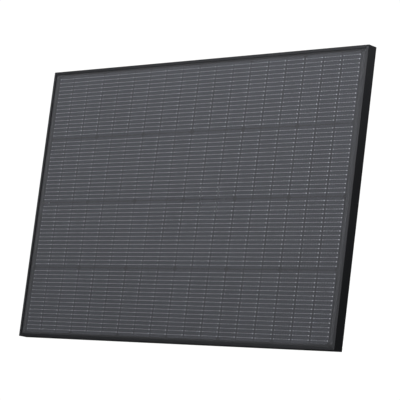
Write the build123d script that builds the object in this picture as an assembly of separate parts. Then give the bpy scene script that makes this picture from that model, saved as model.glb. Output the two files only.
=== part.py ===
"""Framed photovoltaic panel with 72 cell strips and a rear junction box.

Millimetres. +X runs along the long side, +Z up the short side, and the glass faces -Y.
The origin is the centre of the mounting slots, in the plane of the rear flanges.
"""

from build123d import *
import math
import os

# Overall size
PANEL_W = 1168.0
PANEL_H = 762.0
FRAME_D = 30.0

# Frame extrusion; depths are measured from the outer face inwards
WALL = 1.4
LIP = 8.0
SHELF = 12.0
FLANGE_LONG = 30.0
FLANGE_SHORT = 20.0
FLANGE_T = 1.5
SHELF_Y = -22.7
CHAMBER_H = 9.0
EDGE_R = 0.6

# Mounting slots, earthing holes and drain slots in the rear flanges
SLOT_PITCH_Z = 722.0
OUTER_SLOT_PITCH_X = 700.0
OUTER_SLOT = (14.0, 9.0)
INNER_SLOT_PITCH_X = 400.0
INNER_SLOT = (10.0, 7.0)
EARTH_PITCH_X = 900.0
EARTH_R = 2.1
DRAIN_SLOT = (12.0, 4.0)
DRAIN_FROM_END = 60.0
HOLE_CUT = 3 * FLANGE_T

# Corner keys
KEY_LEG = 45.0
KEY_GAP = 0.1

# Laminate
LAM_W = 1163.0
LAM_H = 757.0
GLASS_Y = -28.2
GLASS_T = 3.2
FRONT_FILM_T = 0.4
WIRE_T = 0.25
CELL_T = 0.17
REAR_FILM_T = 0.5
SHEET_T = 0.3
WIRE_FRONT_Y = GLASS_Y + GLASS_T + FRONT_FILM_T
CELL_Y = WIRE_FRONT_Y + WIRE_T
WIRE_BACK_Y = CELL_Y + CELL_T
REAR_FILM_Y = WIRE_BACK_Y + WIRE_T
SHEET_Y = REAR_FILM_Y + REAR_FILM_T
SHEET_BACK_Y = SHEET_Y + SHEET_T
GLASS_BEVEL = 0.6
# How far the sealant stays back from the edge of the lip and of the shelf
SEAL_BACK_FRONT = 0.6
SEAL_BACK_REAR = 0.4

# Cells: a 182 mm pseudo-square wafer cut in three strips
CELL = 182.0
WAFER_R = 123.5
CUTS = 3
STRIP_GAP = 1.65
ROW_GAP = 2.2
CELLS_ACROSS = 6
ROWS = 4
STRIPS = CUTS * CELLS_ACROSS
STRIP = CELL / CUTS
STRIP_PITCH = STRIP + STRIP_GAP
ROW_PITCH = CELL + ROW_GAP
FIELD_W = STRIPS * STRIP_PITCH - STRIP_GAP

# Interconnect wires
WIRES = 16
WIRE_PITCH = 10.97
WIRE_W = 0.5
WIRE_END = 3.5
JOG = 0.2
# +1: front wires leave to the right; -1: to the left
ROW_WAY = (1, -1, -1, 1)

# String busbars and leads
BUS_W = 5.0
BUS_GAP = 5.5
BUS_X = FIELD_W / 2 + BUS_GAP
LEAD_T = 0.3
LEAD_W = 5.0
LEAD_Z = 18.0
LEAD_TAIL = 16.0
COVER_W = 9.0
COVER_T = 0.12

# Junction box
BOX_X = -500.0
BOX_W = 100.0
BOX_H = 110.0
BOX_WALL = 2.2
BOX_FLOOR = 1.8
PAD_T = 0.5
PAD_INSET = 1.5
BOX_Y = SHEET_BACK_Y + PAD_T
RIM_Y = -4.8
FLOOR_Y = BOX_Y + BOX_FLOOR
BOX_R = 5.0
LEAD_SLOT_X = (-545.0, -535.0)
LEAD_SLOT_H = 46.0
POST_R = 2.5
POST_DX = 22.0
MIDDLE_POST_DX = 8.0
GASKET_W = 0.9
GROOVE_GAP = 0.1
# The catches under the bottom wall that the lid's hooks snap over
CATCH_Y = (-12.5, -11.0)
CATCH_OUT = 0.9

# Lid and hinge
LID_Y = -4.6
LID_T = 2.2
LID_OVER = 0.8
LID_CHAMFER = 0.6
RAISED_INSET = 12.0
RAISED_T = 0.6
RAISED_CHAMFER = 0.4
TONGUE = 2.0
TONGUE_GAP = 0.5
TONGUE_T = 1.4
HINGE_Y = -7.4
HINGE_Z = BOX_H / 2 + 3.2
KNUCKLE_R = 2.7
PIN_R = 1.25
PIN_GAP = 0.05
HINGE_DX = 30.0
LID_KNUCKLE = 9.0
BASE_KNUCKLE = 5.0
KNUCKLE_GAP = 0.4
HOOK_DX = 42.0
HOOK_W = 8.0
HOOK_T = 1.4
HOOK_GAP = 0.5
HOOK_END_Y = -14.5
ARM_T = 1.6
HOOK_ROOT_T = 1.5
# How far the arms and hooks run into the lid's plate or the box's wall
MERGE_Z = 1.0
MERGE_Y = 0.8
ARM_BACK = 0.2

# Cable outlets
OUTLET_DX = 22.0
OUTLET_Y = -13.2
OUTLET_R = 6.0
OUTLET_L = 12.0
OUTLET_BORE_R = 3.6
SEAT_R = 4.7
SEAT_DEPTH = 8.0
SEAL_R = 4.6
CABLE_R = 3.1
SEAL_L = 9.0
SEAL_CHAMFER = 0.8
RING_R = 5.4
RING_BORE_R = 3.5
RING_T = 1.0
RING_GAP = 0.1
NUT_AF = 15.0
NUT_R = 8.1
NUT_BORE_R = 6.2
NUT_L = 14.0
NUT_START = 3.0
NUT_DOME = 3.0
NUT_CHAMFER = 0.8
NUT_FLOOR_GAP = 0.05

# Contacts inside the junction box
RAIL_Y = -17.6
RAIL_T = 0.8
RAIL_W = 9.0
RAIL_LEFT = BOX_X - 30.0
POSITIVE_RIGHT = BOX_X + 41.0
NEGATIVE_RIGHT = BOX_X + 27.0
CLIP_X = (BOX_X - 29.0, BOX_X - 24.0)
CLIP_T = 0.6
CLIP_GAP = 0.1
CLIP_UNDER = 0.8
CLIP_OPEN = 3.0
SCREW_X = (BOX_X + 36.5, BOX_X - 20.0)
SCREW_HOLE_R = 2.1
SCREW_R = 2.0
SCREW_REACH = 2.2
HEAD_R = 3.6
HEAD_T = 2.4
HEAD_FILLET = 0.8
DRIVE_HALF = 2.2
DRIVE_W = 0.8
DRIVE_FLOOR = 1.2
CLAMP_HALF_X = 4.0
CLAMP_HALF_Z = 4.2
CLAMP_T = 1.2
CLAMP_LEG = 1.0
CLAMP_LIFT = 2.4
DIODE_X = (BOX_X - 2.0, BOX_X + 12.0)
DIODE_R = 4.0
DIODE_L = 8.0
DIODE_Y = -12.4
DIODE_CHAMFER = 0.4
DIODE_LEAD_R = 0.6
DIODE_LEAD_BACK = 1.0

# Blank label on the rear sheet
LABEL_X = (60.0, 150.0)
LABEL_H = 70.0
LABEL_T = 0.1


def block(x0, x1, y0, y1, z0, z1):
    """A box between two corners."""
    return Pos((x0 + x1) / 2, (y0 + y1) / 2, (z0 + z1) / 2) * Box(
        x1 - x0, y1 - y0, z1 - z0
    )


def rod_x(radius, x0, x1, y, z):
    """A cylinder along X."""
    return Pos((x0 + x1) / 2, y, z) * Rot(0, 90, 0) * Cylinder(radius, x1 - x0)


def rod_y(radius, x, y0, y1, z):
    """A cylinder along Y."""
    return Pos(x, (y0 + y1) / 2, z) * Rot(90, 0, 0) * Cylinder(radius, y1 - y0)


def rod_z(radius, x, y, z0, z1):
    """A cylinder along Z."""
    return Pos(x, y, (z0 + z1) / 2) * Cylinder(radius, z1 - z0)


def slab(points, z0, z1):
    """An outline in X and Y, extruded from z0 to z1."""
    face = make_face(Polyline(*points, close=True))
    return Pos(0, 0, z0) * extrude(face, amount=z1 - z0)


def frame_slot(x, depth, size):
    """A cutter for a slot through the rear flange, along X."""
    outline = Plane.XZ * Pos(x, depth) * SlotOverall(*size)
    return extrude(outline, amount=HOLE_CUT, both=True)


def rail_blank(length, flange):
    """A frame rail along X with square ends; its outer face is at z = 0 and +Z is inwards."""
    half = length / 2
    chamber_y = SHELF_Y + WALL
    floor_y = chamber_y + CHAMBER_H
    rail = block(-half, half, -FRAME_D, 0, 0, WALL)
    rail += block(-half, half, -FRAME_D, -FRAME_D + WALL, 0, LIP)
    rail += block(-half, half, SHELF_Y, chamber_y, 0, SHELF)
    rail += block(-half, half, floor_y, floor_y + WALL, 0, SHELF)
    rail += block(-half, half, SHELF_Y, floor_y + WALL, SHELF - WALL, SHELF)
    rail += block(-half, half, -FLANGE_T, 0, 0, flange)
    outer = rail.edges().filter_by(Axis.X).group_by(Axis.Z)[0]
    return fillet(outer, EDGE_R)


def mitre(length, flange):
    """The space that one mitred rail may fill."""
    reach = flange + LIP
    half = length / 2
    outline = Polyline(
        (-half, 0), (half, 0), (half - reach, reach), (reach - half, reach), close=True
    )
    return extrude(Plane.XZ * make_face(outline), amount=2 * FRAME_D, both=True)


def frame_rail(length, flange):
    """A mitred rail with drain slots near its ends."""
    rail = rail_blank(length, flange) & mitre(length, flange)
    for side in (-1, 1):
        drain_x = side * (length / 2 - DRAIN_FROM_END)
        rail -= frame_slot(drain_x, SHELF / 2, DRAIN_SLOT)
    return rail


def long_rail():
    """A long rail with its mounting slots and earthing holes."""
    rail = frame_rail(PANEL_W, FLANGE_LONG)
    depth = (PANEL_H - SLOT_PITCH_Z) / 2
    for side in (-1, 1):
        rail -= frame_slot(side * OUTER_SLOT_PITCH_X / 2, depth, OUTER_SLOT)
        rail -= frame_slot(side * INNER_SLOT_PITCH_X / 2, depth, INNER_SLOT)
        rail -= rod_y(EARTH_R, side * EARTH_PITCH_X / 2, -HOLE_CUT, HOLE_CUT, depth)
    return rail


def frame_nodes():
    """The four rails, each turned so that its outer face looks outwards."""
    short = frame_rail(PANEL_H, FLANGE_SHORT)
    return {
        "frame_bottom": Pos(0, 0, -PANEL_H / 2) * long_rail(),
        "frame_top": Pos(0, 0, PANEL_H / 2) * Rot(0, 180, 0) * long_rail(),
        "frame_left": Pos(-PANEL_W / 2, 0, 0) * Rot(0, 90, 0) * short,
        "frame_right": Pos(PANEL_W / 2, 0, 0) * Rot(0, -90, 0) * short,
    }


def corner_keys():
    """Four L-shaped keys inside the chambers of the rails."""
    near = WALL + KEY_GAP
    far = SHELF - WALL - KEY_GAP
    low = SHELF_Y + WALL + KEY_GAP
    high = low + CHAMBER_H - 2 * KEY_GAP
    keys = []
    for side_x in (-1, 1):
        for side_z in (-1, 1):
            x = [side_x * (PANEL_W / 2 - d) for d in (near, far, KEY_LEG)]
            z = [side_z * (PANEL_H / 2 - d) for d in (near, far, KEY_LEG)]
            along = block(*sorted((x[0], x[2])), low, high, *sorted((z[0], z[1])))
            up = block(*sorted((x[0], x[1])), low, high, *sorted((z[0], z[2])))
            keys.append(along + up)
    return keys


def layer(y, thick):
    """A full sheet of the laminate."""
    return block(-LAM_W / 2, LAM_W / 2, y, y + thick, -LAM_H / 2, LAM_H / 2)


def glass():
    """The front pane with ground edges."""
    pane = layer(GLASS_Y, GLASS_T)
    return chamfer(pane.faces().sort_by(Axis.Y)[0].edges(), GLASS_BEVEL)


def frame_sealant():
    """A closed ring that fills the channel around the laminate's edge."""
    ring = block(
        WALL - PANEL_W / 2, PANEL_W / 2 - WALL, WALL - FRAME_D, SHELF_Y,
        WALL - PANEL_H / 2, PANEL_H / 2 - WALL,
    )
    ring -= layer(GLASS_Y, SHEET_BACK_Y - GLASS_Y)
    front = (-FRAME_D, GLASS_Y, LIP - SEAL_BACK_FRONT)
    rear = (SHEET_BACK_Y, 0, SHELF - SEAL_BACK_REAR)
    for y0, y1, depth in (front, rear):
        half_w = PANEL_W / 2 - depth
        half_h = PANEL_H / 2 - depth
        ring -= block(-half_w, half_w, y0, y1, -half_h, half_h)
    return ring


def strip_x(index):
    """Centre of a cell strip, counted from the left."""
    return (index - (STRIPS - 1) / 2) * STRIP_PITCH


def row_z(row):
    """Centre of a cell row, counted from the top."""
    return ((ROWS - 1) / 2 - row) * ROW_PITCH


def cell_strips():
    """The three strips of one full cell, each centred on the origin."""
    wafer = block(-CELL / 2, CELL / 2, CELL_Y, WIRE_BACK_Y, -CELL / 2, CELL / 2)
    wafer &= rod_y(WAFER_R, 0, CELL_Y, WIRE_BACK_Y, 0)
    strips = []
    for cut in range(CUTS):
        left = -CELL / 2 + cut * STRIP
        piece = wafer & block(left, left + STRIP, CELL_Y, WIRE_BACK_Y, -CELL / 2, CELL / 2)
        strips.append(Pos(-left - STRIP / 2, 0, 0) * piece)
    return strips


def cell_row(row, strips):
    """Every strip of one row."""
    z = row_z(row)
    return [Pos(strip_x(i), 0, z) * strips[i % CUTS] for i in range(STRIPS)]


def link_wire(way):
    """One wire across a gap, from the front of one strip to the back of the next."""
    reach = STRIP_GAP / 2 + STRIP - WIRE_END
    outline = [
        (-reach, WIRE_FRONT_Y), (JOG, WIRE_FRONT_Y), (JOG, WIRE_BACK_Y), (reach, WIRE_BACK_Y),
        (reach, REAR_FILM_Y), (-JOG, REAR_FILM_Y), (-JOG, CELL_Y), (-reach, CELL_Y),
    ]
    return slab([(way * x, y) for x, y in outline], -WIRE_W / 2, WIRE_W / 2)


def end_wire(side, front):
    """One wire from an end strip to the busbar on that side."""
    inner = side * (FIELD_W / 2 - STRIP + WIRE_END)
    outer = side * (BUS_X + BUS_W)
    y = WIRE_FRONT_Y if front else WIRE_BACK_Y
    return block(*sorted((inner, outer)), y, y + WIRE_T, -WIRE_W / 2, WIRE_W / 2)


def wire_row(row):
    """Every interconnect wire of one row."""
    way = ROW_WAY[row]
    link = link_wire(way)
    ends = [end_wire(side, side == way) for side in (-1, 1)]
    wires = []
    for wire in range(WIRES):
        z = row_z(row) + (wire - (WIRES - 1) / 2) * WIRE_PITCH
        wires += [Pos(0, 0, z) * end for end in ends]
        for gap in range(1, STRIPS):
            x = strip_x(gap) - STRIP_PITCH / 2
            wires.append(Pos(x, 0, z) * link)
    return wires


def busbar(side, first_row, last_row):
    """A string busbar beside the cells, from the top of one row to the bottom of another."""
    x = sorted((side * BUS_X, side * (BUS_X + BUS_W)))
    bottom = row_z(last_row) - CELL / 2
    top = row_z(first_row) + CELL / 2
    return block(*x, CELL_Y, WIRE_BACK_Y, bottom, top)


def busbar_nodes():
    """Links on the right; one negative and two positive busbars on the left."""
    return {
        "busbar_link_upper": busbar(1, 0, 1),
        "busbar_link_lower": busbar(1, 2, 3),
        "busbar_positive_upper": busbar(-1, 0, 0),
        "busbar_negative": busbar(-1, 1, 2),
        "busbar_positive_lower": busbar(-1, 3, 3),
    }


def busbar_covers():
    """Two black strips in front of the busbars and the wire ends."""
    half_h = (ROWS * ROW_PITCH - ROW_GAP) / 2
    y = WIRE_FRONT_Y - COVER_T
    middle = BUS_X + BUS_W / 2
    covers = []
    for side in (-1, 1):
        x = sorted((side * (middle - COVER_W / 2), side * (middle + COVER_W / 2)))
        covers.append(block(*x, y, WIRE_FRONT_Y, -half_h, half_h))
    return covers


def lead(z_bus, z_box):
    """A ribbon from a busbar, behind the cells and out to its clip in the junction box."""
    left = -(BUS_X + BUS_W)
    turn = (LEAD_SLOT_X[0] + LEAD_SLOT_X[1]) / 2
    top = RAIL_Y + RAIL_T + LEAD_T
    low, high = z_box - LEAD_W / 2, z_box + LEAD_W / 2
    pad = sorted((z_bus, z_bus + math.copysign(BUS_W, z_bus - z_box)))
    ribbon = block(left, left + BUS_W, WIRE_BACK_Y, REAR_FILM_Y, *pad)
    ribbon += block(left, left + BUS_W, REAR_FILM_Y, REAR_FILM_Y + LEAD_T,
                    min(low, pad[0]), max(high, pad[1]))
    ribbon += block(left, turn, REAR_FILM_Y, REAR_FILM_Y + LEAD_T, low, high)
    ribbon += block(turn - LEAD_T, turn, REAR_FILM_Y, top, low, high)
    ribbon += block(turn - LEAD_T, turn + LEAD_TAIL, top - LEAD_T, top, low, high)
    return ribbon


def lead_nodes():
    """The three leads of the panel."""
    bus_end = row_z(0) - CELL / 2
    return {
        "lead_positive_upper": lead(bus_end, LEAD_Z),
        "lead_negative": lead(-LEAD_W / 2, 0),
        "lead_positive_lower": lead(-bus_end, -LEAD_Z),
    }


def lead_slot(y0, y1):
    """The cutter for the slot that the leads leave through."""
    return block(*LEAD_SLOT_X, y0, y1, -LEAD_SLOT_H / 2, LEAD_SLOT_H / 2)


def rear_film(leads):
    """The rear encapsulant, with room for the leads."""
    film = layer(REAR_FILM_Y, REAR_FILM_T) - lead_slot(REAR_FILM_Y, SHEET_Y)
    for ribbon in leads.values():
        film -= ribbon
    return film


def rounded_plate(width, height, radius, y0, y1):
    """A plate in X and Z with rounded corners, centred on the junction box."""
    outline = Plane.XZ * Pos(BOX_X, 0) * RectangleRounded(width, height, radius)
    return Pos(0, y1, 0) * extrude(outline, amount=y1 - y0)


def outlet_x(side):
    """Centre of a cable outlet: -1 is negative, +1 is positive."""
    return BOX_X + side * OUTLET_DX


def knuckle(x0, x1, wall_z):
    """One hinge knuckle, joined to the box or the lid at wall_z."""
    web = block(x0, x1, HINGE_Y - KNUCKLE_R, HINGE_Y + KNUCKLE_R, wall_z, HINGE_Z)
    return rod_x(KNUCKLE_R, x0, x1, HINGE_Y, HINGE_Z) + web


def hinge_bore():
    """The bore through every knuckle."""
    reach = HINGE_DX + LID_KNUCKLE + BASE_KNUCKLE
    return rod_x(PIN_R + PIN_GAP, BOX_X - reach, BOX_X + reach, HINGE_Y, HINGE_Z)


def box_base():
    """The junction box's tray, with its cable outlets, contact posts and hinge knuckles."""
    base = rounded_plate(BOX_W, BOX_H, BOX_R, BOX_Y, RIM_Y)
    inner_r = BOX_R - BOX_WALL
    inner = rounded_plate(BOX_W - 2 * BOX_WALL, BOX_H - 2 * BOX_WALL, inner_r, FLOOR_Y, 0)
    base -= inner
    base -= lead_slot(BOX_Y, FLOOR_Y)
    posts = [(side * POST_DX, z) for side in (-1, 1) for z in (-LEAD_Z, LEAD_Z)]
    for x, z in posts + [(MIDDLE_POST_DX, 0)]:
        base += rod_y(POST_R, BOX_X + x, FLOOR_Y, RAIL_Y, z)
    bottom = -BOX_H / 2
    for side in (-1, 1):
        x = outlet_x(side)
        base += rod_z(OUTLET_R, x, OUTLET_Y, bottom - OUTLET_L, bottom)
        base -= rod_z(OUTLET_BORE_R, x, OUTLET_Y, bottom - OUTLET_L, bottom + BOX_WALL)
        base -= rod_z(SEAT_R, x, OUTLET_Y, bottom - OUTLET_L, bottom - OUTLET_L + SEAT_DEPTH)
        hinge = BOX_X + side * HINGE_DX
        for end in (-1, 1):
            inner_x = hinge + end * (LID_KNUCKLE / 2 + KNUCKLE_GAP)
            span = sorted((inner_x, inner_x + end * BASE_KNUCKLE))
            base += knuckle(*span, BOX_H / 2)
        hook = BOX_X + side * HOOK_DX
        base += block(hook - HOOK_W / 2, hook + HOOK_W / 2, *CATCH_Y, bottom - CATCH_OUT, bottom)
    return base - hinge_bore() - rim_groove(GROOVE_GAP)


def rim_groove(gap):
    """The ring of space for the rim gasket, widened all round by gap."""
    middle_w = BOX_W - BOX_WALL
    middle_h = BOX_H - BOX_WALL
    half = GASKET_W / 2 + gap
    mean_r = BOX_R - BOX_WALL / 2
    outer = rounded_plate(middle_w + 2 * half, middle_h + 2 * half, mean_r + half,
                          RIM_Y - GASKET_W - gap, RIM_Y + GROOVE_GAP)
    inner = rounded_plate(middle_w - 2 * half, middle_h - 2 * half, mean_r - half,
                          RIM_Y - 2 * GASKET_W, 0)
    return outer - inner


def box_pad():
    """The adhesive pad under the junction box."""
    width, height = BOX_W - 2 * PAD_INSET, BOX_H - 2 * PAD_INSET
    pad = rounded_plate(width, height, BOX_R - PAD_INSET, SHEET_BACK_Y, BOX_Y)
    return pad - lead_slot(SHEET_BACK_Y, BOX_Y)


def box_lid():
    """The lid: a plate with a raised panel, a tongue inside the rim, knuckles and snap hooks."""
    wide = BOX_W + 2 * LID_OVER
    tall = BOX_H + 2 * LID_OVER
    lid = rounded_plate(wide, tall, BOX_R + LID_OVER, LID_Y, LID_Y + LID_T)
    lid = chamfer(lid.faces().sort_by(Axis.Y)[-1].edges(), LID_CHAMFER)
    raised = rounded_plate(wide - 2 * RAISED_INSET, tall - 2 * RAISED_INSET, BOX_R,
                           LID_Y + LID_T, LID_Y + LID_T + RAISED_T)
    lid += chamfer(raised.faces().sort_by(Axis.Y)[-1].edges(), RAISED_CHAMFER)
    inside = 2 * (BOX_WALL + TONGUE_GAP)
    tongue_r = BOX_R - BOX_WALL - TONGUE_GAP
    tongue = rounded_plate(BOX_W - inside, BOX_H - inside, tongue_r, LID_Y - TONGUE, LID_Y)
    tongue -= rounded_plate(BOX_W - inside - 2 * TONGUE_T, BOX_H - inside - 2 * TONGUE_T,
                            tongue_r - TONGUE_T, LID_Y - TONGUE, LID_Y)
    lid += tongue
    for side in (-1, 1):
        hinge = BOX_X + side * HINGE_DX
        half = LID_KNUCKLE / 2
        arm = block(hinge - half, hinge + half, HINGE_Y, LID_Y + ARM_T,
                    HINGE_Z - ARM_BACK, HINGE_Z + KNUCKLE_R)
        arm += block(hinge - half, hinge + half, LID_Y, LID_Y + ARM_T,
                     BOX_H / 2 - MERGE_Z, HINGE_Z + KNUCKLE_R)
        arm += rod_x(KNUCKLE_R, hinge - half, hinge + half, HINGE_Y, HINGE_Z)
        lid += arm
        hook = BOX_X + side * HOOK_DX
        outer = -BOX_H / 2 - CATCH_OUT - HOOK_GAP
        lid += block(hook - HOOK_W / 2, hook + HOOK_W / 2, HOOK_END_Y, LID_Y + MERGE_Y,
                     outer - HOOK_T, outer)
        lid += block(hook - HOOK_W / 2, hook + HOOK_W / 2, LID_Y, LID_Y + HOOK_ROOT_T,
                     outer - HOOK_T, -BOX_H / 2)
    return lid - hinge_bore()


def hinge_pins():
    """Two pins, one through each set of knuckles."""
    half = LID_KNUCKLE / 2 + KNUCKLE_GAP + BASE_KNUCKLE
    middles = [BOX_X + side * HINGE_DX for side in (-1, 1)]
    return [rod_x(PIN_R, x - half, x + half, HINGE_Y, HINGE_Z) for x in middles]


def positive_rail():
    """A C-shaped plate: an arm for each positive lead, joined by a spine."""
    top = RAIL_Y + RAIL_T
    plate = block(POSITIVE_RIGHT - RAIL_W, POSITIVE_RIGHT, RAIL_Y, top,
                  -LEAD_Z - RAIL_W / 2, LEAD_Z + RAIL_W / 2)
    for z in (-LEAD_Z, LEAD_Z):
        plate += block(RAIL_LEFT, POSITIVE_RIGHT, RAIL_Y, top, z - RAIL_W / 2, z + RAIL_W / 2)
    return plate - rod_y(SCREW_HOLE_R, SCREW_X[0], RAIL_Y, top, 0)


def negative_rail():
    """A straight plate between the arms of the positive rail."""
    top = RAIL_Y + RAIL_T
    plate = block(RAIL_LEFT, NEGATIVE_RIGHT, RAIL_Y, top, -RAIL_W / 2, RAIL_W / 2)
    return plate - rod_y(SCREW_HOLE_R, SCREW_X[1], RAIL_Y, top, 0)


def lead_clips():
    """Three spring clips that press the leads on the rails."""
    clips = []
    inner = RAIL_W / 2 + CLIP_GAP
    outer = inner + CLIP_T
    top = RAIL_Y + RAIL_T + LEAD_T
    low = RAIL_Y - CLIP_UNDER
    for z in (-LEAD_Z, 0, LEAD_Z):
        clip = block(*CLIP_X, low, top + CLIP_T, z - outer, z + outer)
        clip -= block(*CLIP_X, RAIL_Y - CLIP_GAP, top, z - inner, z + inner)
        clip -= block(*CLIP_X, low, RAIL_Y, z - CLIP_OPEN, z + CLIP_OPEN)
        clips.append(clip)
    return clips


def terminal_clamps():
    """Two wire clamps under the terminal screws."""
    low = RAIL_Y + RAIL_T + CLAMP_LIFT
    wide, inner = CLAMP_HALF_Z, CLAMP_HALF_Z - CLAMP_LEG
    clamps = []
    for x in SCREW_X:
        left, right = x - CLAMP_HALF_X, x + CLAMP_HALF_X
        clamp = block(left, right, low, low + CLAMP_T, -wide, wide)
        clamp += block(left, right, low - CLAMP_LEG, low, inner, wide)
        clamp += block(left, right, low - CLAMP_LEG, low, -wide, -inner)
        clamps.append(clamp - rod_y(SCREW_HOLE_R, x, low, low + CLAMP_T, 0))
    return clamps


def terminal_screws():
    """Two pan-head screws with a cross slot."""
    seat = RAIL_Y + RAIL_T + CLAMP_LIFT + CLAMP_T
    floor = seat + DRIVE_FLOOR
    top = seat + HEAD_T
    half = DRIVE_W / 2
    screws = []
    for x in SCREW_X:
        screw = rod_y(HEAD_R, x, seat, top, 0)
        screw = fillet(screw.faces().sort_by(Axis.Y)[-1].edges(), HEAD_FILLET)
        screw += rod_y(SCREW_R, x, RAIL_Y - SCREW_REACH, seat, 0)
        screw -= block(x - DRIVE_HALF, x + DRIVE_HALF, floor, top, -half, half)
        screw -= block(x - half, x + half, floor, top, -DRIVE_HALF, DRIVE_HALF)
        screws.append(screw)
    return screws


def diode_spots():
    """Where the two bypass diodes lie, between the negative rail and each positive arm."""
    middle = LEAD_Z / 2
    return ((DIODE_X[0], middle), (DIODE_X[1], -middle))


def diode_bodies():
    """Two moulded diode bodies along Z, each bored for its lead."""
    bodies = []
    for x, z in diode_spots():
        body = rod_z(DIODE_R, x, DIODE_Y, z - DIODE_L / 2, z + DIODE_L / 2)
        body = chamfer(body.edges(), DIODE_CHAMFER)
        bodies.append(body - rod_z(DIODE_LEAD_R, x, DIODE_Y, z - DIODE_L, z + DIODE_L))
    return bodies


def diode_leads():
    """Two axial leads, bent down on to the rails."""
    leads = []
    for x, z in diode_spots():
        reach = LEAD_Z / 2 - DIODE_LEAD_BACK
        wire = rod_z(DIODE_LEAD_R, x, DIODE_Y, z - reach, z + reach)
        for end in (z - reach, z + reach):
            wire += rod_y(DIODE_LEAD_R, x, RAIL_Y + RAIL_T, DIODE_Y, end)
            wire += Pos(x, DIODE_Y, end) * Sphere(DIODE_LEAD_R)
        leads.append(wire)
    return leads


def outlet_seal(side):
    """The rubber sleeve that grips the cable; its outer end is tapered."""
    x = outlet_x(side)
    top = -BOX_H / 2 - OUTLET_L + SEAT_DEPTH
    sleeve = rod_z(SEAL_R, x, OUTLET_Y, top - SEAL_L, top)
    sleeve = chamfer(sleeve.faces().sort_by(Axis.Z)[0].edges(), SEAL_CHAMFER)
    return sleeve - rod_z(CABLE_R, x, OUTLET_Y, top - SEAL_L, top)


def ring_top():
    """Upper face of a slip ring, just under its seal."""
    return -BOX_H / 2 - OUTLET_L + SEAT_DEPTH - SEAL_L - RING_GAP


def slip_ring(side):
    """The washer between the seal and the cap nut."""
    x = outlet_x(side)
    top = ring_top()
    ring = rod_z(RING_R, x, OUTLET_Y, top - RING_T, top)
    return ring - rod_z(RING_BORE_R, x, OUTLET_Y, top - RING_T, top)


def cap_nut(side):
    """The hexagonal cap nut: rounded corners, a domed end and a hole for the cable."""
    x = outlet_x(side)
    top = -BOX_H / 2 - NUT_START
    bottom = top - NUT_L
    prism = extrude(RegularPolygon(NUT_AF / 2, 6, major_radius=False), amount=NUT_L)
    nut = Pos(x, OUTLET_Y, bottom) * prism
    barrel = rod_z(NUT_R, x, OUTLET_Y, bottom, top)
    barrel = fillet(barrel.faces().sort_by(Axis.Z)[0].edges(), NUT_DOME)
    barrel = chamfer(barrel.faces().sort_by(Axis.Z)[-1].edges(), NUT_CHAMFER)
    nut &= barrel
    nut -= rod_z(NUT_BORE_R, x, OUTLET_Y, ring_top() - RING_T - NUT_FLOOR_GAP, top)
    return nut - rod_z(OUTLET_BORE_R, x, OUTLET_Y, bottom, top)


def rating_label():
    """A blank label on the rear sheet."""
    half = LABEL_H / 2
    return block(*LABEL_X, SHEET_BACK_Y, SHEET_BACK_Y + LABEL_T, -half, half)


def nodes():
    """Every node by name."""
    strips = cell_strips()
    leads = lead_nodes()
    slot = lead_slot(SHEET_Y, SHEET_BACK_Y)
    found = dict(frame_nodes())
    found["corner_keys"] = corner_keys()
    found["frame_sealant"] = frame_sealant()
    found["front_glass"] = glass()
    found["front_encapsulant"] = layer(GLASS_Y + GLASS_T, FRONT_FILM_T - COVER_T)
    for row in range(ROWS):
        found[f"cell_row_{row + 1}"] = cell_row(row, strips)
        found[f"cell_wires_{row + 1}"] = wire_row(row)
    found.update(busbar_nodes())
    found["busbar_covers"] = busbar_covers()
    found.update(leads)
    found["rear_encapsulant"] = rear_film(leads)
    found["rear_sheet"] = layer(SHEET_Y, SHEET_T) - slot
    found["rating_label"] = rating_label()
    found["box_adhesive_pad"] = box_pad()
    found["box_base"] = box_base()
    found["box_gasket"] = rim_groove(0)
    found["box_lid"] = box_lid()
    found["hinge_pins"] = hinge_pins()
    found["positive_rail"] = positive_rail()
    found["negative_rail"] = negative_rail()
    found["lead_clips"] = lead_clips()
    found["terminal_clamps"] = terminal_clamps()
    found["terminal_screws"] = terminal_screws()
    found["diode_bodies"] = diode_bodies()
    found["diode_leads"] = diode_leads()
    for side, name in ((1, "positive"), (-1, "negative")):
        found[f"outlet_seal_{name}"] = outlet_seal(side)
        found[f"slip_ring_{name}"] = slip_ring(side)
        found[f"cap_nut_{name}"] = cap_nut(side)
    return found


os.makedirs("parts", exist_ok=True)
for name, shape in nodes().items():
    if isinstance(shape, list):
        shape = Compound(children=shape)
    export_step(shape, f"parts/{name}.step")
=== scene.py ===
import math

import bpy
from mathutils import Matrix, Vector


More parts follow.
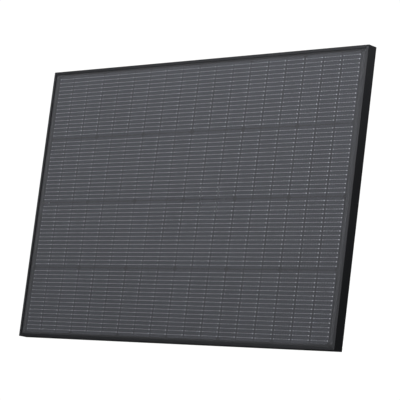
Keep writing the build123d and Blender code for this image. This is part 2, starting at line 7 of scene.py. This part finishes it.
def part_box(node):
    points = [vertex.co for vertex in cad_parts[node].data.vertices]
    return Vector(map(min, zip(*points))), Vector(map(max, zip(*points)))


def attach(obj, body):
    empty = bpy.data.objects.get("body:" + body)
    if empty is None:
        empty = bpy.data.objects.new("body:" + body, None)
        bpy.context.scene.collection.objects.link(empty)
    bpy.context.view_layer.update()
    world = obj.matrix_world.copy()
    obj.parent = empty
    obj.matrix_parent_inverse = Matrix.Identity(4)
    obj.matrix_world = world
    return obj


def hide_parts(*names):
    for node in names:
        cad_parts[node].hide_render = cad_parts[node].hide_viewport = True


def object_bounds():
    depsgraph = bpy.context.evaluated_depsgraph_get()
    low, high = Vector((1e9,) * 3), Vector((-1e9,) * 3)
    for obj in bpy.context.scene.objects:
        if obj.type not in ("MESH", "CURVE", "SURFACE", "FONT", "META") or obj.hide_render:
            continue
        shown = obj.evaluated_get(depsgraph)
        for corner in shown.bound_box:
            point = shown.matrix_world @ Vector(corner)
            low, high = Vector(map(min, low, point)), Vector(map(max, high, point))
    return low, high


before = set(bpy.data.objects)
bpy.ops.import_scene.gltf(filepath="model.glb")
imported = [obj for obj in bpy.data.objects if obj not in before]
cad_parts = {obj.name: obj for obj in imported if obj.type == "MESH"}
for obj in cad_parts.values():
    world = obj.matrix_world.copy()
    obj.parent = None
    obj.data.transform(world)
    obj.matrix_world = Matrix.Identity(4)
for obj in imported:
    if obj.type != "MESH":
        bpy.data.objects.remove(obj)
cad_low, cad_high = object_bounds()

# Lengths are in metres. X runs along the long side, Z up, and the glass faces -Y.
MM = 0.001

# Cells and wires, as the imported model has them
ROWS = 4
STRIPS = 18
WIRES = 16
STRIP_W = 182 / 3 * MM
WIRE_PITCH = 10.97 * MM
WIRE_W = 0.5 * MM
WIRE_T = 0.25 * MM
ROW_WAY = (1, -1, -1, 1)
WIRE_END = 3.5 * MM
# The wires are coated black this far to each side of a gap's middle
WIRE_COAT = 4.0 * MM
BEND_REACH = 0.55 * MM
BEND_STEPS = 4
FINGERS = 46
# Share of the finger pitch that a finger takes, and the printed line round each strip
FINGER_SHARE = 0.045
EDGE_INSET = 1.2 * MM
EDGE_LINE = 0.15 * MM
PAD_X = (4.4, 12.9, 21.3, 29.8, 38.3, 46.7, 56.2)
PAD_SIZE = (1.3 * MM, 1.1 * MM)
LEFT_PAD_SIZE = (2.4 * MM, 1.5 * MM)
RIGHT_PAD_SIZE = (3.0 * MM, 1.8 * MM)
PAD_T = 0.05 * MM
PAD_TOP = 0.78
GLASS_IOR = 1.5
FRAME_TINT = (0.97, 1.0, 1.04)
SHEET_TINT = (0.98, 1.0, 1.05)
LABEL_TINT = (1.0, 1.0, 1.01)
TIN_TINT = (0.98, 1.0, 1.02)
# Relief of the rear sheet, as shares of a strip, a row and a wire pitch
STRIP_SHARE = 0.965
ROW_SHARE = 0.98
RIDGE_SHARE = 0.1

# Camera
CAMERA_AT = Vector((3.8147, -3.7424, -0.7941))
CAMERA_AIM = Vector((0.0652, 0.0, -0.0023))
CAMERA_ROLL = -7.135
CAMERA_LENS = 184.0
CAMERA_FAR = 200.0
CLEAR_LAYERS = 16

# Studio
FLOOR_BELOW = 0.95
FLOOR_SIZE = 60.0
FLOOR_GLOW = 0.8
PAPER_WHITE = 1.05
SKY_TINT = (0.98, 1.0, 1.05)
LIGHT_TINT = (0.97, 0.99, 1.06)
SKY_STRENGTH = 0.045
# Each softbox: its name, where it is, where it points, its width and height, and its power
LIGHTS = (
    ("front_left", (-3.0, -6.6, 2.3), (0.0, 0.0, 0.0), (7.0, 4.0), 260),
    ("top_front", (1.9, -2.0, 1.7), (0.6, 0.0, 0.0), (1.6, 1.2), 40),
    ("side_top", (1.9, 0.7, 1.35), (0.58, 0.0, 0.3), (0.8, 0.8), 13),
    ("back_left", (-2.4, 3.6, 0.0), (0.0, 0.0, 0.0), (2.4, 0.7), 150),
    ("back_middle", (-0.7, 4.4, 0.0), (0.0, 0.0, 0.0), (2.0, 0.7), 80),
)


def row_box(row):
    """Lowest and highest corner of one row of cells."""
    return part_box(f"cell_row_{row + 1}")


def strip_left(row, index):
    """Left edge of a cell strip."""
    low, high = row_box(row)
    pitch = (high[0] - low[0] - STRIP_W) / (STRIPS - 1)
    return low[0] + index * pitch


# ---------------------------------------------------------------- materials

class Material:
    """A node material that is built up from short calls."""

    def __init__(self, name):
        self.data = bpy.data.materials.new(name)
        self.data.use_nodes = True
        self.tree = self.data.node_tree
        self.tree.nodes.clear()
        self.out = self.add("ShaderNodeOutputMaterial")
        self.place = None

    def add(self, kind, **settings):
        node = self.tree.nodes.new(kind)
        for key, value in settings.items():
            setattr(node, key, value)
        return node

    def link(self, source, target):
        self.tree.links.new(source, target)

    def feed(self, socket, value):
        """Sets a socket, or links it when the value is another node's output."""
        if isinstance(value, bpy.types.NodeSocket):
            self.link(value, socket)
        else:
            socket.default_value = value

    def axes(self):
        """X, Y and Z of the row frame, as three outputs."""
        if self.place is None:
            coordinates = self.add("ShaderNodeTexCoord")
            split = self.add("ShaderNodeSeparateXYZ")
            self.link(coordinates.outputs["Object"], split.inputs[0])
            self.place = coordinates.outputs["Object"], split.outputs
        return self.place[1]

    def position(self):
        self.axes()
        return self.place[0]

    def math(self, operation, first, second=0.0):
        node = self.add("ShaderNodeMath", operation=operation)
        for socket, value in zip(node.inputs, (first, second)):
            self.feed(socket, value)
        return node.outputs[0]

    def noise(self, scale, detail=3.0, rough=0.5, stretch=None):
        """Noise in the row frame; stretch scales each axis first."""
        node = self.add("ShaderNodeTexNoise")
        node.inputs["Scale"].default_value = scale
        node.inputs["Detail"].default_value = detail
        node.inputs["Roughness"].default_value = rough
        where = self.position()
        if stretch:
            mapping = self.add("ShaderNodeMapping")
            mapping.inputs["Scale"].default_value = stretch
            self.link(where, mapping.inputs["Vector"])
            where = mapping.outputs[0]
        self.link(where, node.inputs["Vector"])
        return node.outputs[0]

    def between(self, factor, low, high):
        """low at factor 0 and high at 1, for numbers."""
        span = self.math("MULTIPLY", factor, high - low)
        return self.math("ADD", span, low)

    def blend(self, factor, first, second):
        """A mix of two colours."""
        node = self.add("ShaderNodeMix", data_type="RGBA")
        self.feed(node.inputs["Factor"], factor)
        for socket, value in zip((node.inputs[6], node.inputs[7]), (first, second)):
            self.feed(socket, value if isinstance(value, bpy.types.NodeSocket) else (*value, 1))
        return node.outputs[2]

    def bump(self, height, distance, strength=1.0, under=None):
        node = self.add("ShaderNodeBump")
        node.inputs["Distance"].default_value = distance
        node.inputs["Strength"].default_value = strength
        self.link(height, node.inputs["Height"])
        if under is not None:
            self.link(under, node.inputs["Normal"])
        return node.outputs[0]

    def line(self, value, centre, width):
        """1 within half of width of centre, and 0 elsewhere."""
        gap = self.math("ABSOLUTE", self.math("SUBTRACT", value, centre))
        return self.math("LESS_THAN", gap, width / 2)

    def surface(self, **values):
        """The Principled shader; names use _ for a space."""
        shader = self.add("ShaderNodeBsdfPrincipled")
        for key, value in values.items():
            socket = shader.inputs[key.replace("_", " ")]
            if not isinstance(value, bpy.types.NodeSocket) and isinstance(value, tuple):
                value = (*value, 1)
            self.feed(socket, value)
        self.link(shader.outputs[0], self.out.inputs["Surface"])
        return self.data


def grey(level, tint=(1.0, 1.0, 1.0)):
    return tuple(level * part for part in tint)


def anodised(name, along, level, ior):
    """Black anodised aluminium with the fine draw lines of an extrusion along one axis."""
    m = Material(name)
    draw = [2600.0, 2600.0, 2600.0]
    draw[along] = 6.0
    lines = m.noise(1.0, detail=2.0, stretch=tuple(draw))
    cloud = m.noise(9.0, detail=4.0)
    grain = m.noise(2400.0, detail=1.0)
    tone = m.between(cloud, 0.8, 1.25)
    base = m.blend(m.math("MULTIPLY", lines, tone), grey(level * 0.5, FRAME_TINT),
                   grey(level * 1.5, FRAME_TINT))
    rough = m.math("ADD", m.between(cloud, 0.33, 0.43), m.between(lines, -0.03, 0.05))
    height = m.math("ADD", m.math("MULTIPLY", lines, 0.7), m.math("MULTIPLY", grain, 0.5))
    return m.surface(Base_Color=base, Roughness=rough, IOR=ior,
                     Normal=m.bump(height, 0.01 * MM, 0.35))


def silicon():
    """Textured dark silicon with silver fingers, a printed edge line and small differences
    from strip to strip."""
    m = Material("silicon_cell")
    x, _, z = m.axes()
    low, high = row_box(0)
    pitch = strip_left(0, 1) - strip_left(0, 0)
    index = m.math("FLOOR", m.math("DIVIDE", m.math("SUBTRACT", x, low[0] - MM / 2), pitch))
    inside = m.math("SUBTRACT", m.math("SUBTRACT", x, low[0]), m.math("MULTIPLY", index, pitch))
    finger_pitch = STRIP_W / FINGERS
    phase = m.math("FRACT", m.math("DIVIDE", inside, finger_pitch))
    finger = m.line(phase, 0.5, FINGER_SHARE)
    row_pitch = low[2] - row_box(1)[0][2]
    height = m.math("SUBTRACT", z, low[2] + 2 * row_pitch)
    row = m.math("FLOOR", m.math("DIVIDE", height, row_pitch))
    key = m.add("ShaderNodeCombineXYZ")
    m.link(index, key.inputs[0])
    m.link(row, key.inputs[1])
    dice = m.add("ShaderNodeTexWhiteNoise", noise_dimensions="3D")
    m.link(key.outputs[0], dice.inputs["Vector"])
    mottle = m.noise(55.0, detail=5.0, rough=0.6)
    crystal = m.noise(1600.0, detail=2.0)
    tone = m.math("ADD", m.between(dice.outputs[0], 0.93, 1.07), m.between(mottle, -0.1, 0.1))
    body = m.blend(crystal, grey(0.028, (0.92, 0.97, 1.1)), grey(0.042, (0.93, 0.97, 1.08)))
    shade = m.add("ShaderNodeVectorMath", operation="SCALE")
    m.link(body, shade.inputs[0])
    m.link(tone, shade.inputs["Scale"])
    edge = m.line(inside, STRIP_W / 2, STRIP_W - 2 * EDGE_INSET)
    edge_in = m.line(inside, STRIP_W / 2, STRIP_W - 2 * (EDGE_INSET + EDGE_LINE))
    border = m.math("MULTIPLY", m.math("SUBTRACT", edge, edge_in), 0.12)
    silver = m.math("MAXIMUM", m.math("MULTIPLY", m.math("MULTIPLY", finger, edge), 0.55), border)
    base = m.blend(silver, shade.outputs[0], grey(0.34, (0.97, 0.99, 1.03)))
    return m.surface(Base_Color=base, Roughness=m.between(mottle, 0.42, 0.55), IOR=1.3,
                     Normal=m.bump(crystal, 0.01 * MM, 0.3))


def tinned(name, level, rough, grain=900.0):
    """Tinned copper: bright, slightly uneven metal."""
    m = Material(name)
    spots = m.noise(grain, detail=3.0)
    long = m.noise(60.0, detail=2.0)
    base = m.blend(spots, grey(level * 0.86), grey(level, TIN_TINT))
    return m.surface(Base_Color=base, Metallic=0.9,
                     Roughness=m.math("ADD", m.between(spots, rough - 0.05, rough + 0.06),
                                      m.between(long, -0.04, 0.04)),
                     Normal=m.bump(spots, 0.01 * MM, 0.4))


def part_coated(m, bare, coat, tin, rough):
    """Tin where bare is 1 and a black coat where it is 0; tin and rough are ranges."""
    spots = m.noise(900.0, detail=3.0)
    metal_colour = m.blend(spots, *tin)
    return m.surface(Base_Color=m.blend(bare, grey(coat), metal_colour),
                     Metallic=m.math("MULTIPLY", bare, 0.9),
                     Roughness=m.between(spots, *rough),
                     Normal=m.bump(spots, 0.01 * MM, 0.4))


def coated_wire():
    """Tinned wire, bright over the strips and coated black where it dips into a gap."""
    m = Material("tinned_wire")
    x, _, _ = m.axes()
    pitch = strip_left(0, 1) - strip_left(0, 0)
    middle = strip_left(0, 0) - (pitch - STRIP_W) / 2
    phase = m.math("MODULO", m.math("SUBTRACT", x, middle - pitch), pitch)
    away = m.math("MINIMUM", phase, m.math("SUBTRACT", pitch, phase))
    bare = m.math("GREATER_THAN", away, WIRE_COAT)
    return part_coated(m, bare, 0.016, (grey(0.38), grey(0.48, (0.99, 1.0, 1.03))), (0.38, 0.5))


def coated_lead():
    """Tinned ribbon, coated black as far as it runs inside the laminate."""
    m = Material("coated_lead")
    _, y, _ = m.axes()
    sheet_low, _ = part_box("rear_sheet")
    bare = m.math("GREATER_THAN", y, sheet_low[1])
    return part_coated(m, bare, 0.012, (grey(0.6), grey(0.7, TIN_TINT)), (0.28, 0.4))


def solar_glass():
    """Rolled low-iron glass. It bends and mirrors what the camera sees, with a soft satin
    reflection from its outer face, and lets the light through to the cells."""
    m = Material("solar_glass")
    ripple = m.noise(420.0, detail=2.0)
    haze = m.noise(7.0, detail=3.0)
    normal = m.bump(ripple, 0.02 * MM, 0.25)
    bend = m.add("ShaderNodeBsdfRefraction")
    bend.inputs["Color"].default_value = (0.982, 0.984, 0.99, 1)
    bend.inputs["Roughness"].default_value = 0.0
    bend.inputs["IOR"].default_value = GLASS_IOR
    shine = m.add("ShaderNodeBsdfGlossy")
    shine.inputs["Color"].default_value = (1, 1, 1, 1)
    m.link(m.between(haze, 0.52, 0.6), shine.inputs["Roughness"])
    m.link(normal, shine.inputs["Normal"])
    fresnel = m.add("ShaderNodeFresnel")
    fresnel.inputs["IOR"].default_value = GLASS_IOR
    seen = m.add("ShaderNodeMixShader")
    m.link(fresnel.outputs[0], seen.inputs[0])
    m.link(bend.outputs[0], seen.inputs[1])
    m.link(shine.outputs[0], seen.inputs[2])
    clear = m.add("ShaderNodeBsdfTransparent")
    clear.inputs["Color"].default_value = (0.962, 0.964, 0.972, 1)
    path = m.add("ShaderNodeLightPath")
    mix = m.add("ShaderNodeMixShader")
    m.link(path.outputs["Is Camera Ray"], mix.inputs[0])
    m.link(clear.outputs[0], mix.inputs[1])
    m.link(seen.outputs[0], mix.inputs[2])
    m.link(mix.outputs[0], m.out.inputs["Surface"])
    return m.data


def clear_film():
    """Cured encapsulant: clear, with the slightest haze."""
    m = Material("clear_film")
    haze = m.noise(30.0, detail=2.0)
    clear = m.add("ShaderNodeBsdfTransparent")
    m.link(m.blend(haze, grey(0.985), grey(1.0)), clear.inputs["Color"])
    m.link(clear.outputs[0], m.out.inputs["Surface"])
    return m.data


def black_sheet():
    """Black laminate film. The strips and wires behind it show as a faint relief."""
    m = Material("black_sheet")
    x, _, z = m.axes()
    low, _ = row_box(ROWS - 1)
    pitch = strip_left(0, 1) - strip_left(0, 0)
    row_pitch = row_box(0)[0][2] - row_box(1)[0][2]
    across = m.math("FRACT", m.math("DIVIDE", m.math("SUBTRACT", x, low[0]), pitch))
    up = m.math("FRACT", m.math("DIVIDE", m.math("SUBTRACT", z, low[2]), row_pitch))
    wire = m.math("FRACT", m.math("DIVIDE", m.math("SUBTRACT", z, low[2]), WIRE_PITCH))
    strips = m.line(across, 0.5, STRIP_SHARE)
    rows = m.line(up, 0.5, ROW_SHARE)
    ridge = m.line(wire, 0.5, RIDGE_SHARE)
    relief = m.math("ADD", m.math("MULTIPLY", strips, rows), m.math("MULTIPLY", ridge, 0.35))
    peel = m.noise(260.0, detail=3.0)
    grain = m.noise(3000.0, detail=1.0)
    cloud = m.noise(5.0, detail=4.0)
    base = m.blend(cloud, grey(0.008, SHEET_TINT), grey(0.013, SHEET_TINT))
    soft = m.bump(m.math("ADD", peel, m.math("MULTIPLY", grain, 0.4)), 0.03 * MM, 0.4)
    return m.surface(Base_Color=base, Roughness=m.between(cloud, 0.46, 0.58), IOR=1.45,
                     Normal=m.bump(relief, 0.06 * MM, 0.6, under=soft))


def moulded(name, level, rough, texture=2200.0, tint=(0.98, 1.0, 1.04), depth=0.02):
    """Moulded plastic or rubber with a spark-eroded grain."""
    m = Material(name)
    grain = m.noise(texture, detail=2.0, rough=0.6)
    cloud = m.noise(24.0, detail=4.0)
    base = m.blend(cloud, grey(level * 0.82, tint), grey(level * 1.18, tint))
    return m.surface(Base_Color=base,
                     Roughness=m.math("ADD", m.between(cloud, rough - 0.05, rough + 0.05),
                                      m.between(grain, -0.04, 0.04)),
                     Normal=m.bump(grain, depth * MM, 0.5))


def metal(name, colour, rough, along=None):
    """Plain metal with fine marks, along one axis if that is given."""
    m = Material(name)
    stretch = [1.0, 1.0, 1.0]
    if along is not None:
        stretch[along] = 0.03
    marks = m.noise(1800.0, detail=3.0, stretch=tuple(stretch))
    cloud = m.noise(90.0, detail=3.0)
    base = m.blend(cloud, tuple(part * 0.82 for part in colour), colour)
    return m.surface(Base_Color=base, Metallic=1.0,
                     Roughness=m.math("ADD", m.between(cloud, rough - 0.06, rough + 0.08),
                                      m.between(marks, -0.05, 0.05)),
                     Normal=m.bump(marks, 0.01 * MM, 0.4))


def diode_moulding():
    """Black epoxy with the pale band that marks one end."""
    m = Material("diode_moulding")
    _, _, z = m.axes()
    low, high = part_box("diode_bodies")
    grain = m.noise(2600.0, detail=2.0)
    far = m.math("ABSOLUTE", m.math("SUBTRACT", z, (low[2] + high[2]) / 2))
    band = m.line(far, (high[2] - low[2]) / 2 - 1.6 * MM, 1.0 * MM)
    base = m.blend(band, grey(0.02), grey(0.55))
    return m.surface(Base_Color=base, Roughness=m.between(grain, 0.38, 0.5),
                     Normal=m.bump(grain, 0.02 * MM, 0.4))


def blank_label():
    """A blank silver label with a thin printed border."""
    m = Material("blank_label")
    x, _, z = m.axes()
    low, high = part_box("rating_label")
    half = [(high[i] - low[i]) / 2 for i in range(3)]
    u = m.math("ABSOLUTE", m.math("SUBTRACT", x, low[0] + half[0]))
    v = m.math("ABSOLUTE", m.math("SUBTRACT", z, low[2] + half[2]))
    inset = 2.5 * MM
    edge = m.math("MAXIMUM", m.math("SUBTRACT", u, half[0] - inset),
                  m.math("SUBTRACT", v, half[2] - inset))
    border = m.line(edge, 0.0, 0.5 * MM)
    fibre = m.noise(1400.0, detail=2.0, stretch=(0.1, 1.0, 1.0))
    base = m.blend(fibre, grey(0.5, LABEL_TINT), grey(0.6, LABEL_TINT))
    return m.surface(Base_Color=m.blend(border, base, grey(0.06)), Metallic=0.25,
                     Roughness=m.between(fibre, 0.34, 0.46),
                     Normal=m.bump(fibre, 0.01 * MM, 0.3))


def dress(names, material):
    """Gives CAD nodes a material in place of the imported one."""
    for name in names:
        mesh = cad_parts[name].data
        mesh.materials.clear()
        mesh.materials.append(material)


def dress_all():
    """Every CAD node that stays in view or inside gets its material."""
    # Painted shade: the long rails get a darker tone than the short ones, so the top and bottom
    # lips come out darker than the side lips.
    dress(["frame_top", "frame_bottom"], anodised("anodised_long", 0, 0.013, 1.3))
    dress(["frame_left", "frame_right"], anodised("anodised_short", 2, 0.017, 1.38))
    dress([f"cell_row_{row + 1}" for row in range(ROWS)], silicon())
    dress(["front_glass"], solar_glass())
    dress(["front_encapsulant", "rear_encapsulant"], clear_film())
    dress(["rear_sheet"], black_sheet())
    dress(["busbar_covers"], moulded("cover_strip", 0.01, 0.55, 900.0))
    dress(["frame_sealant"], moulded("sealant", 0.014, 0.5, 500.0))
    dress(["rating_label"], blank_label())
    dress(["box_adhesive_pad"], moulded("foam_pad", 0.03, 0.85, 1500.0, depth=0.1))
    dress(["box_base", "box_lid"], moulded("box_plastic", 0.019, 0.5))
    dress(["cap_nut_positive", "cap_nut_negative"], moulded("nut_nylon", 0.023, 0.42, 1600.0))
    dress(["slip_ring_positive", "slip_ring_negative"], moulded("ring_nylon", 0.2, 0.4))
    rubber = moulded("seal_rubber", 0.05, 0.65, 1200.0, (1.0, 1.0, 1.0))
    dress(["outlet_seal_positive", "outlet_seal_negative", "box_gasket"], rubber)
    dress(["busbar_link_upper", "busbar_link_lower", "busbar_positive_upper",
           "busbar_negative", "busbar_positive_lower"], tinned("tinned_ribbon", 0.7, 0.3))
    dress(["lead_positive_upper", "lead_negative", "lead_positive_lower"], coated_lead())
    dress(["positive_rail", "negative_rail"], metal("tinned_copper", (0.72, 0.62, 0.5), 0.3, 0))
    dress(["lead_clips", "hinge_pins"], metal("spring_steel", (0.55, 0.55, 0.57), 0.28, 0))
    dress(["terminal_clamps", "terminal_screws"], metal("zinc_steel", (0.62, 0.63, 0.62), 0.33))
    dress(["diode_leads"], tinned("tinned_lead", 0.75, 0.25))
    dress(["diode_bodies"], diode_moulding())
    dress(["corner_keys"], metal("mill_aluminium", (0.62, 0.63, 0.65), 0.4))


# ---------------------------------------------------------------- wires and pads

def new_piece(name, verts, faces, material, body):
    """A mesh object that rides on a CAD body."""
    mesh = bpy.data.meshes.new(name)
    mesh.from_pydata(verts, [], faces)
    mesh.materials.append(material)
    mesh.update()
    piece = bpy.data.objects.new(name, mesh)
    bpy.context.scene.collection.objects.link(piece)
    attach(piece, body)
    return piece


def ribbon_section():
    """The wire's outline across its run: a flat wire with rounded sides, as (y, z) pairs."""
    half_w, half_t = WIRE_W / 2, WIRE_T / 2
    flat = half_w - half_t
    return [(-half_t, -flat), (0.0, -half_w), (half_t, -flat),
            (half_t, flat), (0.0, half_w), (-half_t, flat)]


def add_tube(verts, faces, path, section, z):
    """A wire along a path of (x, y) points, closed at both ends."""
    start = len(verts)
    count = len(section)
    for x, y in path:
        verts += [(x, y + dy, z + dz) for dy, dz in section]
    for ring in range(len(path) - 1):
        for i in range(count):
            a = start + ring * count + i
            b = start + ring * count + (i + 1) % count
            faces.append((a, b, b + count, a + count))
    faces.append(tuple(start + i for i in reversed(range(count))))
    last = start + (len(path) - 1) * count
    faces.append(tuple(last + i for i in range(count)))


def link_path(x_from, x_gap, x_to, y_front, y_back, way):
    """Front run, an S bend in the gap, and the back run."""
    path = [(x_from, y_front)]
    for step in range(BEND_STEPS + 1):
        share = step / BEND_STEPS
        rise = share * share * (3 - 2 * share)
        x = x_gap + way * BEND_REACH * (2 * share - 1)
        path.append((x, y_front + rise * (y_back - y_front)))
    path.append((x_to, y_back))
    return path


def make_wires(row, material):
    """All interconnect wires of one row."""
    low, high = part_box(f"cell_wires_{row + 1}")
    y_front = low[1] + WIRE_T / 2
    y_back = high[1] - WIRE_T / 2
    way = ROW_WAY[row]
    cell_low, cell_high = row_box(row)
    middle_z = (cell_low[2] + cell_high[2]) / 2
    gap = strip_left(row, 1) - strip_left(row, 0) - STRIP_W
    reach = STRIP_W + gap / 2 - WIRE_END
    section = ribbon_section()
    verts, faces = [], []
    for wire in range(WIRES):
        z = middle_z + (wire - (WIRES - 1) / 2) * WIRE_PITCH
        for index in range(1, STRIPS):
            x_gap = strip_left(row, index) - gap / 2
            path = link_path(x_gap - way * reach, x_gap, x_gap + way * reach,
                             y_front, y_back, way)
            if way < 0:
                path.reverse()
            add_tube(verts, faces, path, section, z)
        for side in (-1, 1):
            inner = cell_low[0] + STRIP_W - WIRE_END
            outer = low[0]
            if side > 0:
                inner = cell_high[0] - STRIP_W + WIRE_END
                outer = high[0]
            y = y_front if side == way else y_back
            add_tube(verts, faces, [(min(inner, outer), y), (max(inner, outer), y)], section, z)
    piece = new_piece(f"wires_row_{row + 1}", verts, faces, material, "panel")
    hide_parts(f"cell_wires_{row + 1}")
    return piece


def add_pad(verts, faces, x, y, z, size, thick):
    """A low frustum standing out of the cell's face at y."""
    start = len(verts)
    for share, depth in ((1.0, y), (PAD_TOP, y - thick)):
        half_x, half_z = size[0] / 2 * share, size[1] / 2 * share
        verts += [(x - half_x, depth, z - half_z), (x + half_x, depth, z - half_z),
                  (x + half_x, depth, z + half_z), (x - half_x, depth, z + half_z)]
    a, b, c, d, e, f, g, h = range(start, start + 8)
    faces += [(d, c, b, a), (e, f, g, h), (a, b, f, e), (b, c, g, f), (c, d, h, g), (d, a, e, h)]


def make_pads(row, material):
    """Solder pads under the front wires of one row: seven to a wire and strip."""
    cell_low, cell_high = row_box(row)
    middle_z = (cell_low[2] + cell_high[2]) / 2
    y = cell_low[1]
    verts, faces = [], []
    for wire in range(WIRES):
        z = middle_z + (wire - (WIRES - 1) / 2) * WIRE_PITCH
        for index in range(STRIPS):
            left = strip_left(row, index)
            for number, offset in enumerate(PAD_X):
                size = PAD_SIZE
                if number == 0:
                    size = LEFT_PAD_SIZE
                elif number == len(PAD_X) - 1:
                    size = RIGHT_PAD_SIZE
                add_pad(verts, faces, left + offset * MM, y, z, size, PAD_T)
    return new_piece(f"pads_row_{row + 1}", verts, faces, material, "panel")


def make_conductors():
    wire = coated_wire()
    paste = tinned("silver_pad", 0.95, 0.5, 1500.0)
    for row in range(ROWS):
        make_wires(row, wire)
        make_pads(row, paste)


# ---------------------------------------------------------------- studio

def make_floor():
    """A wide pale floor, lit evenly from within. Only the camera sees it, so it throws no
    light back on the object."""
    m = Material("floor_paper")
    grain = m.noise(900.0, detail=2.0)
    cloud = m.noise(0.8, detail=2.0)
    paper = m.blend(cloud, grey(0.03), grey(0.04))
    m.surface(Base_Color=paper, Roughness=m.between(grain, 0.7, 0.85),
              Specular_IOR_Level=0.0,
              Emission_Color=m.blend(cloud, grey(0.97), grey(1.0)), Emission_Strength=FLOOR_GLOW)
    half = FLOOR_SIZE / 2
    z = cad_low[2] - FLOOR_BELOW
    mesh = bpy.data.meshes.new("floor")
    corners = [(-half, -half, z), (half, -half, z), (half, half, z), (-half, half, z)]
    mesh.from_pydata(corners, [], [(0, 1, 2, 3)])
    mesh.materials.append(m.data)
    floor = bpy.data.objects.new("floor", mesh)
    bpy.context.scene.collection.objects.link(floor)
    floor.visible_diffuse = False
    floor.visible_glossy = False


def make_world():
    """White where the camera looks past the object, and a weak even fill for the light."""
    world = bpy.data.worlds.new("studio")
    bpy.context.scene.world = world
    world.use_nodes = True
    tree = world.node_tree
    tree.nodes.clear()
    add, link = tree.nodes.new, tree.links.new
    out = add("ShaderNodeOutputWorld")
    mix = add("ShaderNodeMixShader")
    path = add("ShaderNodeLightPath")
    fill, paper = add("ShaderNodeBackground"), add("ShaderNodeBackground")
    fill.inputs["Color"].default_value = (*SKY_TINT, 1)
    fill.inputs["Strength"].default_value = SKY_STRENGTH
    paper.inputs["Color"].default_value = (1, 1, 1, 1)
    paper.inputs["Strength"].default_value = PAPER_WHITE
    link(path.outputs["Is Camera Ray"], mix.inputs[0])
    link(fill.outputs[0], mix.inputs[1])
    link(paper.outputs[0], mix.inputs[2])
    link(mix.outputs[0], out.inputs["Surface"])


def make_light(name, at, aim, size, power):
    """A rectangular softbox at a point, turned to another."""
    data = bpy.data.lights.new(name, "AREA")
    data.shape = "RECTANGLE"
    data.size, data.size_y = size
    data.energy = power
    data.color = LIGHT_TINT
    light = bpy.data.objects.new(name, data)
    light.location = at
    away = Vector(at) - Vector(aim)
    light.rotation_mode = "QUATERNION"
    light.rotation_quaternion = away.to_track_quat("Z", "Y")
    bpy.context.scene.collection.objects.link(light)


def make_lights():
    for name, at, aim, size, power in LIGHTS:
        make_light(name, at, aim, size, power)


def make_camera():
    data = bpy.data.cameras.new("camera")
    data.lens = CAMERA_LENS
    camera = bpy.data.objects.new("camera", data)
    face = Vector((0, cad_low[1], 0))
    place, aim = CAMERA_AT + face, CAMERA_AIM + face
    back = (place - aim).normalized()
    turn = back.to_track_quat("Z", "Y").to_matrix().to_4x4()
    roll = Matrix.Rotation(math.radians(-CAMERA_ROLL), 4, "Z")
    camera.matrix_world = Matrix.Translation(place) @ turn @ roll
    data.clip_end = CAMERA_FAR
    bpy.context.scene.collection.objects.link(camera)
    bpy.context.scene.camera = camera


dress_all()
make_conductors()
make_floor()
make_world()
make_lights()
make_camera()
bpy.context.scene.view_settings.view_transform = "Standard"
bpy.context.scene.cycles.transparent_max_bounces = CLEAR_LAYERS
